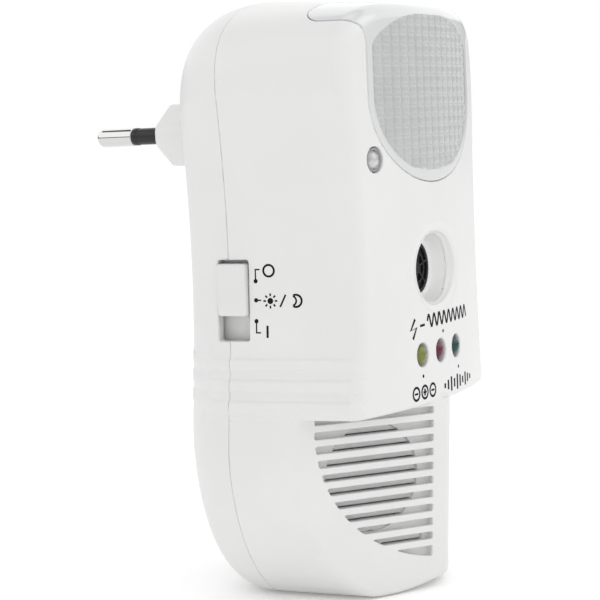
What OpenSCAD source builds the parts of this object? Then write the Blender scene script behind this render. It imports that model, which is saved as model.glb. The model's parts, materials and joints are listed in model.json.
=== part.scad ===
// Plug-in pest repeller with a night light, a sound transducer, two speakers and a slide switch.
// Origin: centre of the plug's contact face, between the pins. +Z is up, the front faces -Y.

/* [Case] */
// Half-width of the case at its waist
waist_half = 31.4; // [30:0.1:33]
// Extra half-width well above the waist
belly_rise = 3.4; // [0:0.1:4]
// Extra half-width well below the waist
belly_low = 3.8; // [0:0.1:5]
// Height of the highest point above the plug axis
top_z = 26.7; // [26:0.1:29]
// Depth of the flat underside below the plug axis
bottom_drop = 95.8; // [94:0.1:97]
// Distance from the plug face to the back of the case
back_gap = 8; // [7:0.1:9]
// Distance from the plug face to the joint between the two covers
seam_gap = 24.6; // [24:0.1:27]
// Distance from the plug face to the middle of the front
front_gap = 56.3; // [55:0.1:58]
// Radius of the bowed front face, seen from above
front_bow = 120; // [90:0.5:140]
// Wall thickness
wall = 2; // [1.6:0.1:2.4]

/* [Lower grille] */
// Angle that each grille face turns back from the middle ridge
prow_yaw = 30; // [26:0.5:32]
// Backward lean of the ridge
prow_lean = 2.95; // [0:0.05:4]
// Height of the ledge above the grille
ledge_z = -57; // [-59:0.1:-55]
// Number of slats on each face
slat_count = 10; // [8:1:11]
// Distance from slat to slat
slat_pitch = 2.93; // [2.6:0.01:3.2]
// Thickness of a slat
slat_h = 1.45; // [1:0.05:2]
// Diameter of the sound hole behind the slats
speaker_hole_d = 22.6; // [18:0.1:24]

/* [Front panel] */
// Half-width of the night-light lens
lens_half = 24.9; // [20:0.1:25.5]
// Lowest point of the night-light lens
lens_tip_z = -11.6; // [-14:0.1:-9]
// Distance between the indicator lamps
lamp_pitch = 8.4; // [7.5:0.1:9]
// Height of the indicator lamps
lamp_z = -46.6; // [-48:0.1:-45]
// Diameter of the indicator holes
lamp_hole_d = 4.9; // [4.6:0.1:5.2]
// Height of the middle of the sound opening
horn_z = -29.5; // [-31:0.1:-28]
// Width of the sound opening
horn_w = 20.6; // [18:0.1:22]
// Height of the sound opening
horn_h = 15.3; // [13:0.1:16]

/* [Switch] */
// Travel of the knob through its three positions
switch_travel = 4.8; // [4:0.1:5]
// Width of the knob's window
window_w = 7; // [6:0.1:8]
// Height of the knob's window
window_h = 16.2; // [15:0.1:17]
// Height of the knob
knob_h = 10.5; // [9:0.1:10.6]

/* [Plug] */
// Distance between the pin centres
pin_pitch = 18.6; // [18.6:0.1:19]
// Diameter of the bare pin
pin_d = 4; // [3.9:0.05:4.1]
// Length of the pins from the contact face
pin_len = 19; // [18.5:0.1:19.5]

/* [Hidden] */
$fn = 48;
eps = 0.05;
gap = 0.15;

// Case form: one outline in the XZ plane, scaled from section to section along Y
rear_y = -back_gap;
seam_y = -seam_gap;
front_y = -front_gap;
bottom_z = -bottom_drop;
waist_z = -24;
belly_reach = 39;
crown_z = 8;
crown_power = 2.75;
front_crown_extra = 1.3;
skirt_power = 2.2;
skirt_z = -60;
skirt_drop = 39.7;
scale_z = -35;
rear_scale_x = 0.375;
rear_scale_z = 0.707;
rear_scale_low = 0.82;
front_scale_x = 0.928;
front_top_scale = 0.968;
top_front_r = 3;
taper_power = 1.5;
loft_end_y = -60;
rib_z = [-46.1, -50.3, -54.5];
rib_rise = 0.45;
rib_half = 1.5;
rib_flat = 0.8;
prow_ridge_y = -58.2;
prow_wall = 3.6;
slat_depth = 1.8;
slat_first_z = -60;
sound_u = 18.8;
sound_z = -71.5;
opening_u = 33.7;
opening_drop = 29.6;
ridge_margin = 4.6;
chamfer_rise = 2.7;
chamfer_len = 5.75;

// Plug
boss_half_w = 17.65;
boss_half_h = 6.7;
boss_corner = 10.9;
boss_nose = 2.2;
boss_end = -14;
flange_half_w = 19.5;
neck_r = 1.45;
sleeve_r = 1.8;
sleeve_end = 10;
sleeve_root = -3;
pin_root_r = 2.2;
pin_root_end = -17;
pin_x = pin_pitch / 2;

// Screws
screw_places = [[-22, 15.5], [22, 15.5], [0, -88.6]];
screw_seat_y = -19;
screw_r = 1.5;
screw_head_r = 2.9;
screw_end_y = -36;
post_r = 3.4;

// Front features
sensor_x = -22.5;
sensor_z = -6.4;
sensor_r = 2.5;
lens_crown_z = 6;
lens_t = 1.8;
lens_back_y = -39.5;
capsule_r = 5.5;
capsule_y = -51.6;
front_board_y = -43.6;
board_t = 1.6;
main_board_y = -31.8;

// Switch
window_y = -25.4;
window_top = -25.25;
knob_out = 32.5;
knob_top = window_top - 0.7;
knob_mid = knob_top - knob_h / 2;
flange_x = 28.6;
flange_t = 0.8;

white = [0.93, 0.93, 0.92];
frosted = [0.82, 0.83, 0.83];
metal = [0.8, 0.8, 0.8];
black = [0.12, 0.12, 0.12];
board_green = [0.1, 0.4, 0.25];

// ---------- case outline and loft ----------
function side_half(z) = let (d = min(abs(z - waist_z), belly_reach) / belly_reach)
  waist_half + (z < waist_z ? belly_low : belly_rise) * d * d;
function rib_points(zr, rise) = [
  [side_half(zr + rib_half), zr + rib_half],
  [side_half(zr + rib_flat) + rise, zr + rib_flat],
  [side_half(zr - rib_flat) + rise, zr - rib_flat],
  [side_half(zr - rib_half), zr - rib_half]
];
function crown(a, in, power) = [
  (side_half(crown_z) - in) * pow(cos(a), 2 / power),
  crown_z + (top_z - in - crown_z) * pow(sin(a), 2 / power)
];
function skirt(b, in) = let (drop = (skirt_drop - in) * pow(sin(b), 2 / skirt_power)) [
  (side_half(skirt_z - drop) - in) * pow(cos(b), 2 / skirt_power),
  skirt_z - drop
];
function skirt_stop(in) = asin(pow((-bottom_z + skirt_z - in) / (skirt_drop - in), skirt_power / 2));
// Right half of the outline from the top to the bottom, moved in by `in`; ribs only on the outside
function half_outline(in, power) = concat(
  [for (a = [82, 74, 66, 57, 48, 39, 30, 20, 10, 4]) crown(a, in, power)],
  [for (z = [crown_z, -6, -20, -33, -42]) [side_half(z) - in, z]],
  in > 0 ? [[side_half(-50) - in, -50]] : [for (zr = rib_z) for (p = rib_points(zr, rib_rise)) p],
  [for (k = [0:9]) skirt(k * skirt_stop(in) / 9, in)]
);
function full_outline(in, power) = let (h = half_outline(in, power), n = len(h))
  concat([[0, top_z - in]], h, [for (k = [n - 1:-1:0]) [-h[k][0], h[k][1]]]);

function dome(y, back) = let (t = (y - seam_y) / (back - seam_y)) 1 - sqrt(max(0, 1 - t * t));
function taper(y) = (seam_y - y) / 26.7;
function scale_x(y, back) = y > seam_y ? 1 - (1 - rear_scale_x) * dome(y, back)
  : 1 - (1 - front_scale_x) * pow(taper(y), taper_power);
function scale_top(y, back) = y > seam_y ? 1 - (1 - rear_scale_z) * dome(y, back)
  : 1 - (1 - front_top_scale) * taper(y);
function scale_low(y, back) = y > seam_y ? 1 - (1 - rear_scale_low) * dome(y, back) : 1;
function power_at(y) = crown_power + front_crown_extra * max(0, min(1, taper(y)));
// Section at depth y, with the size the case has at depth like
function section_like(y, like, in) = let (back = rear_y - in) [
  for (p = full_outline(in, power_at(like))) [
    p[0] * scale_x(like, back),
    y,
    scale_z + (p[1] - scale_z) * (p[1] > scale_z ? scale_top(like, back) : scale_low(like, back))
  ]
];
function section(y, in) = section_like(y, y, in);

// End of a skin: level strips between points k and n - k, which mirror each other
function strips(n) = let (last = floor((n - 1) / 2)) concat(
  [[0, 1, n - 1]],
  [for (k = [1:last - 1]) each [[k, k + 1, n - k - 1], [k, n - k - 1, n - k]]],
  n % 2 == 0 ? [[last, last + 1, last + 2]] : []
);
// Closed skin through sections that all have the same number of points, from back to front
module skin(sections) {
  n = len(sections[0]);
  m = len(sections);
  sides = [
    for (s = [0:m - 2]) for (k = [0:n - 1]) each [
      [s * n + k, s * n + (k + 1) % n, (s + 1) * n + (k + 1) % n],
      [s * n + k, (s + 1) * n + (k + 1) % n, (s + 1) * n + k]
    ]
  ];
  back_end = [for (f = strips(n)) [f[2], f[1], f[0]]];
  front_end = [for (f = strips(n)) [for (v = f) (m - 1) * n + v]];
  polyhedron([for (s = sections) each s], concat(sides, back_end, front_end));
}
// Half space on one side of the joint between the covers; an inside reaches 1 mm past it
module behind_seam(in) {
  translate([-50, seam_y - (in > 0 ? 1 : 0), -110])
    cube([100, 60, 150]);
}
module ahead_of_seam(in) {
  translate([-50, seam_y - 60, -110])
    cube([100, 60 + (in > 0 ? 1 : 0), 150]);
}
module rear_loft(in) {
  depth = rear_y - in - seam_y;
  intersection() {
    skin(concat(
      [for (a = [90, 74, 60, 46, 32, 17, 0]) section(seam_y + depth * sin(a), in)],
      [section_like(seam_y - 3, seam_y, in)]
    ));
    behind_seam(in);
  }
}
module front_loft(in) {
  intersection() {
    skin(concat(
      [section_like(seam_y + 3, seam_y, in)],
      [for (y = [seam_y, -32, -39, -46, -53, loft_end_y]) section(y, in)]
    ));
    ahead_of_seam(in);
  }
}

// ---------- limits of the front ----------
// Everything behind the bowed face, moved in by `in`, above the ledge
module upper_block(in) {
  intersection() {
    translate([0, front_y + front_bow, ledge_z + in])
      cylinder(h = 100, r = front_bow - in, $fn = 180);
    rotate([90, 0, 90])
      translate([0, 0, -40])
      linear_extrude(80)
      side_profile(in);
  }
}
// Side view of the top front corner: the first axis is Y, the second is Z
module side_profile(in) {
  r = top_front_r - in;
  corner_y = front_y + top_front_r;
  // the rounding meets the top of the loft without a step
  roof_z = scale_z + (top_z - scale_z) * scale_top(corner_y, rear_y);
  corner = [corner_y, roof_z - top_front_r];
  union() {
    translate([front_y + in, -80])
      square([60, 80 + corner[1]]);
    translate(corner)
      circle(r, $fn = 64);
    translate([corner[0], -80])
      square([60, 80 + top_z + 5]);
  }
}
// Behind both grille faces, moved in by `in`
module prow_block(in) {
  back = 60;
  half = back / tan(prow_yaw);
  in_y = in / cos(prow_yaw);
  translate([0, prow_ridge_y, ledge_z])
    rotate([prow_lean, 0, 0])
    translate([0, in_y, -50])
    linear_extrude(50 + in)
    polygon([[0, 0], [half, back], [-half, back]]);
}
// Slope under the front of the prow
module chin_cut() {
  chin_y = prow_ridge_y + 1.85;
  rotate([90, 0, 90])
    translate([0, 0, -40])
    linear_extrude(80)
    polygon([
      [chin_y - 10, bottom_z + chamfer_rise + 10 * chamfer_rise / chamfer_len],
      [chin_y + chamfer_len, bottom_z],
      [chin_y + chamfer_len, bottom_z - 5],
      [chin_y - 10, bottom_z - 5]
    ]);
}
// Frame of the right grille face: X runs along it from the ridge, Y points into the case
module on_prow() {
  translate([0, prow_ridge_y, ledge_z])
    rotate([prow_lean, 0, 0])
    rotate([0, 0, prow_yaw])
    children();
}
module into_face(from, to) {
  translate([0, to, 0])
    rotate([90, 0, 0])
    linear_extrude(to - from)
    children();
}
// Frame on the front: a 2D shape in X and Z is pushed back from y0 to y1
module along_y(y0, y1) {
  translate([0, max(y0, y1), 0])
    rotate([90, 0, 0])
    linear_extrude(abs(y1 - y0))
    children();
}
module ellipse(half_w, half_h, steps = 48) {
  polygon([for (k = [0:steps - 1]) [half_w * cos(k * 360 / steps), half_h * sin(k * 360 / steps)]]);
}

// ---------- covers ----------
module grille_opening() {
  z0 = skirt_z - ledge_z;
  top = -1;
  intersection() {
    translate([0, z0])
      ellipse(opening_u, opening_drop, 60);
    translate([ridge_margin, -40])
      square([40, 40 + top]);
  }
}
module gap_bands() {
  first = slat_first_z - ledge_z;
  gap_h = slat_pitch - slat_h;
  for (k = [-1:slat_count - 1])
    translate([0, first - k * slat_pitch - slat_h / 2 - (k == slat_count - 1 ? 4 : gap_h)])
      square([50, k == slat_count - 1 ? 4 : gap_h]);
}
module sound_hole() {
  translate([sound_u, sound_z - ledge_z])
    circle(d = speaker_hole_d);
}
module grille_cuts() {
  on_prow() {
    into_face(-1, slat_depth)
      intersection() {
        grille_opening();
        gap_bands();
      }
    into_face(slat_depth - eps, prow_wall + 1)
      intersection() {
        sound_hole();
        gap_bands();
      }
  }
}
// Outline of the night-light lens, seen from the front
module lens_outline(grow) {
  half = lens_half + grow;
  drop = lens_crown_z - lens_tip_z + grow;
  steps = 32;
  polygon(concat(
    [[half, 40], [-half, 40]],
    [for (k = [0:steps]) [-half * cos(k * 180 / steps), lens_crown_z - drop * sin(k * 180 / steps)]]
  ));
}
module lens_space(grow) {
  along_y(lens_back_y + grow, -70)
    lens_outline(grow);
}
module window_cut() {
  translate([-40, window_y - window_w / 2, window_top - window_h])
    cube([14, window_w, window_h]);
}
module screw_posts(y0, y1) {
  for (p = screw_places)
    translate([p[0], 0, p[1]])
      rotate([90, 0, 0])
      translate([0, 0, -max(y0, y1)])
      cylinder(h = abs(y1 - y0), r = post_r);
}
module screw_bores(y0, y1, r) {
  for (p = screw_places)
    translate([p[0], max(y0, y1), p[1]])
      rotate([90, 0, 0])
      cylinder(h = abs(y1 - y0), r = r);
}
module front_solid(in_upper, in_prow) {
  intersection() {
    front_loft(in_upper);
    union() {
      upper_block(in_upper);
      prow_block(in_prow);
    }
  }
}
module front_cover() {
  color(white)
    difference() {
      union() {
        difference() {
          front_solid(0, 0);
          front_solid(wall, prow_wall);
        }
        intersection() {
          screw_posts(seam_y - gap, -60);
          front_solid(wall / 2, prow_wall / 2);
        }
      }
      chin_cut();
      grille_cuts();
      mirror([1, 0, 0])
        grille_cuts();
      lens_space(gap);
      along_y(front_y - 2, front_y + 8)
        translate([0, horn_z])
        ellipse(horn_w / 2, horn_h / 2);
      for (k = [-1:1])
        translate([k * lamp_pitch, front_y + 6, lamp_z])
          rotate([90, 0, 0])
          cylinder(h = 10, d = lamp_hole_d);
      translate([sensor_x, front_y + 8, sensor_z])
        rotate([90, 0, 0])
        cylinder(h = 12, r = sensor_r + 0.1);
      window_cut();
      screw_bores(seam_y + 1, screw_end_y - 2, screw_r - 0.1);
    }
}
module rear_cover() {
  color(white)
    difference() {
      union() {
        difference() {
          rear_loft(0);
          rear_loft(wall);
        }
        intersection() {
          screw_posts(0, seam_y + gap);
          rear_loft(wall / 2);
        }
      }
      along_y(2, -16)
        boss_outline(0.1);
      screw_bores(0, screw_seat_y, screw_head_r + 0.2);
      screw_bores(0, seam_y - 1, screw_r + 0.2);
      window_cut();
    }
}

// ---------- plug ----------
module boss_outline(grow) {
  w = boss_half_w + grow;
  h = boss_half_h + grow;
  polygon([
    [boss_corner, h], [w - 0.5, boss_nose], [w, 0], [w - 0.5, -boss_nose], [boss_corner, -h],
    [-boss_corner, -h], [-w + 0.5, -boss_nose], [-w, 0], [-w + 0.5, boss_nose], [-boss_corner, h]
  ]);
}
module on_pins() {
  for (side = [-1, 1])
    translate([side * pin_x, 0, 0])
      rotate([-90, 0, 0])
      children();
}
module plug_insert() {
  color(white)
    difference() {
      union() {
        along_y(0, boss_end)
          boss_outline(0);
        translate([-flange_half_w, boss_end - 1.6, -9])
          cube([2 * flange_half_w, 1.6, 18]);
      }
      on_pins() {
        translate([0, 0, sleeve_root])
          cylinder(h = 10, r = sleeve_r + 0.02);
        translate([0, 0, -20])
          cylinder(h = 20 + sleeve_root + eps, r = pin_root_r + 0.02);
      }
    }
}
module pin(side) {
  r = pin_d / 2;
  tip = 1.4;
  translate([side * pin_x, 0, 0])
    rotate([-90, 0, 0])
    rotate_extrude()
    union() {
      translate([0, pin_root_end])
        square([pin_root_r, sleeve_root - pin_root_end]);
      translate([0, sleeve_root])
        square([neck_r, sleeve_end - sleeve_root]);
      translate([0, sleeve_end])
        square([r, pin_len - tip - sleeve_end]);
      translate([0, pin_len - tip])
        square([r - tip, tip]);
      intersection() {
        translate([r - tip, pin_len - tip])
          circle(tip);
        translate([0, pin_len - tip])
          square([r, tip]);
      }
    }
}
module sleeve(side) {
  translate([side * pin_x, 0, 0])
    rotate([-90, 0, 0])
    translate([0, 0, sleeve_root])
    difference() {
      cylinder(h = sleeve_end - sleeve_root, r = sleeve_r);
      translate([0, 0, -1])
        cylinder(h = sleeve_end - sleeve_root + 2, r = neck_r + 0.02);
    }
}
module pin_left() {
  color(metal) pin(-1);
}
module pin_right() {
  color(metal) pin(1);
}
module pin_sleeve_left() {
  color(black) sleeve(-1);
}
module pin_sleeve_right() {
  color(black) sleeve(1);
}
// Brass straps from the pin roots forward to the main board
module contact_straps() {
  strap_w = 3;
  strap_t = 0.5;
  board_back = main_board_y + board_t;
  color([0.8, 0.65, 0.3])
    for (side = [-1, 1])
      translate([side * pin_x - strap_w / 2, 0, 0]) {
        translate([0, pin_root_end - strap_t, -2])
          cube([strap_w, strap_t, 8]);
        translate([0, board_back, 6 - strap_t])
          cube([strap_w, pin_root_end - board_back, strap_t]);
      }
}
module case_screws() {
  color(metal)
    for (p = screw_places)
      translate([p[0], screw_seat_y, p[1]])
        rotate([90, 0, 0])
        difference() {
          union() {
            translate([0, 0, -2])
              cylinder(h = 2, r = screw_head_r);
            cylinder(h = screw_seat_y - screw_end_y, r = screw_r - 0.15);
          }
          for (turn = [0, 90])
            rotate(turn)
            translate([-2, -0.4, -2.5])
            cube([4, 0.8, 1.5]);
        }
}

// ---------- night light ----------
module night_light_lens() {
  color(frosted)
    difference() {
      intersection() {
        front_loft(0);
        upper_block(0);
        lens_space(0);
      }
      intersection() {
        front_loft(lens_t);
        upper_block(lens_t);
      }
    }
}
module night_light_reflector() {
  plate_y = -46;
  rim_y = -51.5;
  plate_top = 12;
  color(white)
    difference() {
      along_y(rim_y, plate_y + 1)
        reflector_outline(0, plate_top);
      along_y(rim_y - 1, plate_y)
        reflector_outline(-1, plate_top);
      for (x = [-9, 0, 9])
        translate([x, plate_y + 3, 2])
          rotate([90, 0, 0])
          cylinder(h = 6, r = 2.6);
    }
}
module reflector_outline(grow, top) {
  half = 19.5 + grow;
  drop = 15 + grow;
  steps = 24;
  polygon(concat(
    [[half, top + grow], [-half, top + grow]],
    [for (k = [0:steps]) [-half * cos(k * 180 / steps), 5 - drop * sin(k * 180 / steps)]]
  ));
}
module night_light_leds() {
  led_r = 2.4;
  strip_y = -43.4;
  color([0.95, 0.95, 0.85])
    union() {
      translate([-14, strip_y, -2])
        cube([28, 1.2, 8]);
      for (x = [-9, 0, 9])
        translate([x, strip_y + eps, 2])
          rotate([90, 0, 0]) {
            cylinder(h = 4.5, r = led_r);
            translate([0, 0, 4.5])
              sphere(led_r);
          }
    }
}

// ---------- light sensor, transducer and lamps ----------
module sensor_window() {
  face_y = front_y + sensor_x * sensor_x / (2 * front_bow);
  dome_r = 4;
  color(frosted)
    intersection() {
      translate([sensor_x, face_y + 4, sensor_z])
        rotate([90, 0, 0])
        cylinder(h = 6, r = sensor_r);
      translate([sensor_x, face_y - 0.3 + dome_r, sensor_z])
        sphere(dome_r);
    }
}
module photocell() {
  cell_y = -46.4;
  color([0.75, 0.45, 0.25])
    union() {
      translate([sensor_x, cell_y + 1.8, sensor_z])
        rotate([90, 0, 0])
        cylinder(h = 1.8, r = 2.3);
      for (dz = [-1.3, 1.3])
        translate([sensor_x, front_board_y, sensor_z + dz])
          rotate([90, 0, 0])
          cylinder(h = abs(cell_y + 1 - front_board_y), r = 0.3);
    }
}
// Funnel from the oval opening down to the round capsule
function horn_ring(half_w, half_h, y) = [
  for (k = [0:39]) [half_w * cos(k * 9), y, horn_z - half_h * sin(k * 9)]
];
module transducer_horn() {
  mouth_y = front_y + wall + 0.6;
  floor_y = capsule_y - 0.2;
  back_y = front_board_y - gap;
  rim = 1.4;
  color(white)
    difference() {
      skin([
        horn_ring(capsule_r + rim, capsule_r + rim, back_y),
        horn_ring(capsule_r + rim, capsule_r + rim, floor_y + 1),
        horn_ring(horn_w / 2 + rim, horn_h / 2 + rim, mouth_y)
      ]);
      skin([
        horn_ring(capsule_r + 0.1, capsule_r + 0.1, back_y + 1),
        horn_ring(capsule_r + 0.1, capsule_r + 0.1, floor_y),
        horn_ring(horn_w / 2, horn_h / 2, mouth_y - eps),
        horn_ring(horn_w / 2, horn_h / 2, mouth_y - 1)
      ]);
    }
}
module transducer_capsule() {
  body_h = abs(capsule_y - front_board_y) - gap;
  color(black)
    translate([0, capsule_y, horn_z])
    rotate([-90, 0, 0])
    difference() {
      cylinder(h = body_h, r = capsule_r - 0.1);
      for (r = [1.6, 3.1, 4.6])
        translate([0, 0, -1])
          difference() {
            cylinder(h = 1.6, r = r + 0.4);
            translate([0, 0, -1])
              cylinder(h = 4, r = r - 0.4);
            for (turn = [0:60:120])
              rotate(turn)
              translate([-8, -0.3, -1])
              cube([16, 0.6, 4]);
          }
    }
}
// Indicator lamp with a round front and two legs into the front board
module lamp(side) {
  r = 2.2;
  tip_y = -56.5;
  base_y = -49;
  translate([side * lamp_pitch, 0, lamp_z])
    union() {
      translate([0, base_y, 0])
        rotate([90, 0, 0])
        cylinder(h = base_y - tip_y - r, r = r);
      translate([0, tip_y + r, 0])
        sphere(r);
      translate([0, base_y + 1, 0])
        rotate([90, 0, 0])
        cylinder(h = 1.2, r = r + 0.3);
      for (dx = [-1.27, 1.27])
        translate([dx, front_board_y, 0])
          rotate([90, 0, 0])
          cylinder(h = abs(base_y - front_board_y) + 0.2, r = 0.3);
    }
}
module lamp_green() {
  color([0.7, 0.75, 0.35]) lamp(-1);
}
module lamp_red() {
  color([0.6, 0.15, 0.35]) lamp(0);
}
module lamp_teal() {
  color([0.1, 0.45, 0.4]) lamp(1);
}

// ---------- boards and what they carry ----------
module front_board() {
  color(board_green)
    difference() {
      translate([-25.2, front_board_y, -53])
        cube([50.4, board_t, 43.5]);
      for (side = [-1, 1])
        translate([side * 25.5 - 3, front_board_y - 1, -25])
          cube([6, 4, 8]);
    }
  color(board_green)
    translate([-25.2, front_board_y, -9.5 - eps])
    cube([6, board_t, 7]);
}
module main_board() {
  color(board_green)
    translate([-16, main_board_y, -51])
    cube([42, board_t, 61]);
}
module mains_capacitor() {
  color([0.75, 0.6, 0.15])
    translate([-13, main_board_y + board_t, -20])
    cube([18, 15, 8.5]);
}
module smoothing_capacitor() {
  r = 5;
  color([0.15, 0.2, 0.4])
    translate([16, main_board_y + board_t, -14])
    rotate([-90, 0, 0])
    union() {
      cylinder(h = 15, r = r);
      cylinder(h = 1, r = r + 0.3);
    }
}
module rectifier_diodes() {
  color(black)
    for (k = [0:3])
      translate([9 + 3.6 * k, main_board_y + board_t + 1.35, -2])
        cylinder(h = 5.2, r = 1.35);
}
// Coil for the mains-wiring pulses: bobbin, winding and core in one block
module pulse_coil() {
  color([0.7, 0.35, 0.15])
    translate([0, main_board_y + board_t, -42])
    rotate([-90, 0, 0])
    difference() {
      union() {
        cylinder(h = 1.5, r = 7.5);
        cylinder(h = 14, r = 6);
        translate([0, 0, 12.5])
          cylinder(h = 1.5, r = 7.5);
      }
      translate([0, 0, 2])
        cylinder(h = 20, r = 2);
    }
}
module ioniser_module() {
  color(black)
    difference() {
      translate([8.5, main_board_y + board_t, -50])
        cube([16, 13, 28]);
      translate([16.5, main_board_y + board_t + 10, -51])
        cylinder(h = 4, r = 0.8);
    }
}
module ioniser_needle() {
  color(metal)
    translate([16.5, main_board_y + board_t + 10, -50 + 2.9]) {
      translate([0, 0, -11])
        cylinder(h = 11, r = 0.4);
      translate([0, 0, -14])
        cylinder(h = 3, r1 = 0.05, r2 = 0.4);
    }
}

// ---------- speakers ----------
module on_speaker() {
  on_prow()
    translate([sound_u, prow_wall + 0.6, sound_z - ledge_z])
    rotate([-90, 0, 0])
    children();
}
module speaker_frame() {
  on_speaker()
    difference() {
      union() {
        cylinder(h = 1.4, r = 13.2);
        cylinder(h = 3.4, r = 11.8);
        cylinder(h = 6, r = 8.6);
      }
      translate([0, 0, -1])
        cylinder(h = 3.4, r = 11);
      cylinder(h = 7, r = 6.6);
    }
}
module speaker_cone() {
  on_speaker()
    rotate_extrude()
    polygon([[0, 0.9], [4, 0.9], [10.8, 0.5], [10.8, 1], [5.8, 2.3], [5.8, 5], [5.2, 5], [5.2, 2], [0, 1.7]]);
}
module speaker_magnet() {
  on_speaker()
    translate([0, 0, 6.2])
    difference() {
      cylinder(h = 4.4, r = 8.2);
      translate([0, 0, -1])
        cylinder(h = 2.5, r = 6.2);
    }
}
module speaker_frame_right() {
  color(black) speaker_frame();
}
module speaker_cone_right() {
  color([0.8, 0.8, 0.8]) speaker_cone();
}
module speaker_magnet_right() {
  color(metal) speaker_magnet();
}
module speaker_frame_left() {
  mirror([1, 0, 0]) speaker_frame_right();
}
module speaker_cone_left() {
  mirror([1, 0, 0]) speaker_cone_right();
}
module speaker_magnet_left() {
  mirror([1, 0, 0]) speaker_magnet_right();
}
// Insulated wire from one point straight to another
module wire(from, to, r) {
  d = to - from;
  translate(from)
    rotate([0, acos(d[2] / norm(d)), atan2(d[1], d[0])])
    cylinder(h = norm(d), r = r, $fn = 16);
}
module speaker_leads() {
  wire_r = 0.6;
  color([0.7, 0.1, 0.1])
    for (side = [-1, 1])
      for (dx = [0, 1.6])
        wire(
          [side * (4 + dx), main_board_y + board_t + 0.9, -51.8],
          [side * (12.1 + dx), -40.6 + dx / 2, -61],
          wire_r
        );
}
module board_link() {
  color([0.85, 0.85, 0.85])
    for (k = [0:4])
      wire([-4 + 2 * k, main_board_y, -12], [-4 + 2 * k, front_board_y + board_t, -12], 0.6);
}

// ---------- slide switch ----------
module switch_body() {
  color(metal)
    difference() {
      translate([-23.4, window_y - 3.4, knob_mid - switch_travel / 2 - 8.5])
        cube([6, 6.8, 17]);
      translate([-24, window_y - 1.9, knob_mid - switch_travel - 2.1])
        cube([5, 3.8, switch_travel + 4.2]);
    }
}
module switch_slider() {
  color(black)
    translate([-26.6, window_y - 1.6, knob_mid - 1.5])
    cube([7, 3.2, 3]);
}
module switch_knob() {
  cap_w = window_w - 0.4;
  flange_top = window_top + switch_travel + 0.9;
  flange_bottom = window_top - window_h - 0.9;
  stem_half = 3.5;
  color(white)
    difference() {
      union() {
        translate([-knob_out, window_y - cap_w / 2, knob_top - knob_h])
          cube([knob_out - flange_x + eps, cap_w, knob_h]);
        translate([-flange_x, window_y - 4.6, flange_bottom])
          cube([flange_t, 9.2, flange_top - flange_bottom]);
        translate([-flange_x + flange_t - eps, window_y - 2.8, knob_mid - stem_half])
          cube([2.8, 5.6, 2 * stem_half]);
      }
      translate([-26.7, window_y - 1.7, knob_mid - 1.6])
        cube([4, 3.4, 3.2]);
    }
}

front_cover();
rear_cover();
plug_insert();
pin_left();
pin_right();
pin_sleeve_left();
pin_sleeve_right();
contact_straps();
case_screws();
night_light_lens();
night_light_reflector();
night_light_leds();
sensor_window();
photocell();
transducer_horn();
transducer_capsule();
lamp_green();
lamp_red();
lamp_teal();
front_board();
main_board();
mains_capacitor();
smoothing_capacitor();
rectifier_diodes();
pulse_coil();
ioniser_module();
ioniser_needle();
speaker_frame_left();
speaker_cone_left();
speaker_magnet_left();
speaker_frame_right();
speaker_cone_right();
speaker_magnet_right();
speaker_leads();
board_link();
switch_body();
switch_slider();
switch_knob();
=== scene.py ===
"""Looks for the plug-in pest repeller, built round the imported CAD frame.

Lengths are in mm until a mesh is made, and the case is described by functions that give the distance
to its surface, negative inside.
"""

import json
import math

import bmesh
import bpy
import numpy as np
from mathutils import Matrix, Vector


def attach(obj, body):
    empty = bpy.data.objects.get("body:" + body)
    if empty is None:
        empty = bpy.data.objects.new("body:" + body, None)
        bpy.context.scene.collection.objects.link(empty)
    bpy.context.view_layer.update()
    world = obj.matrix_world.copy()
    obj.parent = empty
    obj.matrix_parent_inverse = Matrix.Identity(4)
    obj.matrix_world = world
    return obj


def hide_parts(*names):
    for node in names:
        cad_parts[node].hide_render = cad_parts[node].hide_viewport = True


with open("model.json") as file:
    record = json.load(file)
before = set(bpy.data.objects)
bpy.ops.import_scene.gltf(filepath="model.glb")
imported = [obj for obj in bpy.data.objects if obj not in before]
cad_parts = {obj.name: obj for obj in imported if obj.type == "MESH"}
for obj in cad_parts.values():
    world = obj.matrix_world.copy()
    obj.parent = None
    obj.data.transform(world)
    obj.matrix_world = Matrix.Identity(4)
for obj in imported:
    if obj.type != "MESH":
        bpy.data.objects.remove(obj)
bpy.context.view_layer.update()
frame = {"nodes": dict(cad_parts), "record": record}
NODES = frame["nodes"]
MM = 0.001
DETAIL = 1.0

# ---------------------------------------------------------------- case form
SEAM_Y, REAR_Y, FRONT_Y = -24.6, -8.0, -56.3
BOTTOM_Z, LEDGE_Z, TOP_Z = -95.8, -57.0, 26.7
WALL, PROW_WALL = 2.0, 3.6
WAIST_HALF, BELLY, BELLY_LOW, WAIST_Z, BELLY_REACH = 31.4, 3.4, 3.8, -24.0, 39.0
CROWN_Z, CROWN_P, CROWN_EXTRA = 8.0, 2.75, 1.3
SKIRT_Z, SKIRT_DROP, SKIRT_P = -60.0, 39.7, 2.2
SCALE_Z, TAPER_LENGTH = -35.0, 26.7
REAR_NARROW, REAR_TOP, REAR_LOW = 0.625, 0.293, 0.18
FRONT_NARROW, FRONT_TOP = 0.072, 0.032
RIBS = (-46.1, -50.3, -54.5)
RIB_RISE, RIB_HALF, RIB_EDGE = 0.45, 1.55, 0.8
BOW_R = 120.0
CHIN_Y, CHIN_SLOPE, CHIN_SCALE = -50.6, 0.47, 0.9133
PROW_Y, YAW, LEAN = -58.2, math.radians(30), math.radians(2.95)
LENS_HALF, LENS_TIP_Z, LENS_CROWN_Z, LENS_BACK_Y, LENS_T = 24.4, -11.6, 6.0, -41.5, 1.8
LENS_FLARE_Z = 21.2
CELL_W, CELL_H, CELL_RELIEF = 3.2, 2.05, 0.26
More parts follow.
